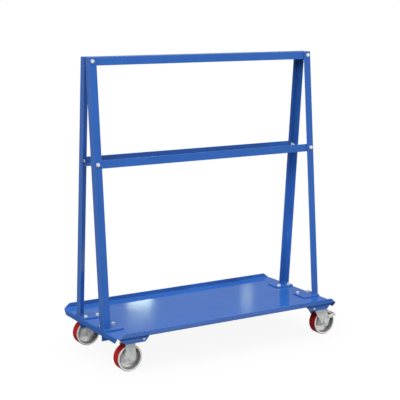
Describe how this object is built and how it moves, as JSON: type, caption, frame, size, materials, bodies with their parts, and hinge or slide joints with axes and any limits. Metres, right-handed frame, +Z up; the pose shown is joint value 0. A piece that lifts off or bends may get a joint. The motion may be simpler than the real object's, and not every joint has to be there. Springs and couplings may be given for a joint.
{
  "type": "sheet goods cart",
  "caption": "Low steel deck with side lips on rigid and braked swivel casters, carrying an A-shaped rack of angle iron that sheet goods lean against from either side.",
  "frame": {"origin": "on the floor, in the middle of the footprint with the brake pedals counted in", "axes": "+X along the deck towards the swivel casters, +Y across the deck towards the back, +Z up"},
  "size_m": [1.2758, 0.61, 1.432],
  "materials": {
    "blue_powder_coat": "semi-gloss powder coat",
    "zinc_plate": "bright zinc plate",
    "grey_core": "light grey painted casting",
    "red_urethane": "satin polyurethane",
    "dark_steel": "oiled steel"
  },
  "bodies": {
    "frame": {"back_left_axle": "zinc_plate", "back_left_fork": "zinc_plate", "back_right_ball_race": "zinc_plate", "back_right_kingpin": "zinc_plate", "back_right_top_plate": "zinc_plate", "caster_mount_back_left": "blue_powder_coat", "caster_mount_back_right": "blue_powder_coat", "caster_mount_front_left": "blue_powder_coat", "caster_mount_front_right": "blue_powder_coat", "deck": "blue_powder_coat", "foot_plate_back_left": "blue_powder_coat", "foot_plate_back_right": "blue_powder_coat", "foot_plate_front_left": "blue_powder_coat", "foot_plate_front_right": "blue_powder_coat", "front_left_axle": "zinc_plate", "front_left_fork": "zinc_plate", "front_right_ball_race": "zinc_plate", "front_right_kingpin": "zinc_plate", "front_right_top_plate": "zinc_plate", "leg_back_left": "blue_powder_coat", "leg_back_right": "blue_powder_coat", "leg_front_left": "blue_powder_coat", "leg_front_right": "blue_powder_coat", "mid_bolt_back_left": "zinc_plate", "mid_bolt_back_right": "zinc_plate", "mid_bolt_front_left": "zinc_plate", "mid_bolt_front_right": "zinc_plate", "mid_rail_back": "blue_powder_coat", "mid_rail_front": "blue_powder_coat", "stringer_back": "blue_powder_coat", "stringer_front": "blue_powder_coat", "top_bolt_back_left": "zinc_plate", "top_bolt_back_right": "zinc_plate", "top_bolt_front_left": "zinc_plate", "top_bolt_front_right": "zinc_plate", "top_rail_back": "blue_powder_coat", "top_rail_front": "blue_powder_coat"},
    "wheel_front_left": {"front_left_tread": "red_urethane", "front_left_wheel_core": "grey_core", "front_left_bearing": "dark_steel"},
    "wheel_front_right": {"front_right_tread": "red_urethane", "front_right_wheel_core": "grey_core", "front_right_bearing": "dark_steel"},
    "swivel_front": {"front_right_fork": "zinc_plate", "front_right_axle": "zinc_plate"},
    "brake_front": {"front_right_brake_pedal": "zinc_plate"},
    "wheel_back_left": {"back_left_tread": "red_urethane", "back_left_wheel_core": "grey_core", "back_left_bearing": "dark_steel"},
    "wheel_back_right": {"back_right_tread": "red_urethane", "back_right_wheel_core": "grey_core", "back_right_bearing": "dark_steel"},
    "swivel_back": {"back_right_fork": "zinc_plate", "back_right_axle": "zinc_plate"},
    "brake_back": {"back_right_brake_pedal": "zinc_plate"}
  },
  "joints": [
    {"name": "swivel_front", "type": "hinge", "parent": "frame", "child": "swivel_front", "pos_m": [0.51314, -0.226, 0.14584], "axis": [0, 0, 1], "continuous": true},
    {"name": "spin_front_left", "type": "hinge", "parent": "frame", "child": "wheel_front_left", "pos_m": [-0.55286, -0.226, 0.06334], "axis": [0, 1, 0], "continuous": true},
    {"name": "spin_front_right", "type": "hinge", "parent": "swivel_front", "child": "wheel_front_right", "pos_m": [0.56614, -0.226, 0.06334], "axis": [0, 1, 0], "continuous": true},
    {"name": "brake_front", "type": "hinge", "parent": "swivel_front", "child": "brake_front", "pos_m": [0.58831, -0.226, 0.09171], "axis": [0, 1, 0], "range_deg": [0, 14]},
    {"name": "swivel_back", "type": "hinge", "parent": "frame", "child": "swivel_back", "pos_m": [0.51314, 0.226, 0.14584], "axis": [0, 0, 1], "continuous": true},
    {"name": "spin_back_left", "type": "hinge", "parent": "frame", "child": "wheel_back_left", "pos_m": [-0.55286, 0.226, 0.06334], "axis": [0, 1, 0], "continuous": true},
    {"name": "spin_back_right", "type": "hinge", "parent": "swivel_back", "child": "wheel_back_right", "pos_m": [0.56614, 0.226, 0.06334], "axis": [0, 1, 0], "continuous": true},
    {"name": "brake_back", "type": "hinge", "parent": "swivel_back", "child": "brake_back", "pos_m": [0.58831, 0.226, 0.09171], "axis": [0, 1, 0], "range_deg": [0, 14]}
  ]
}
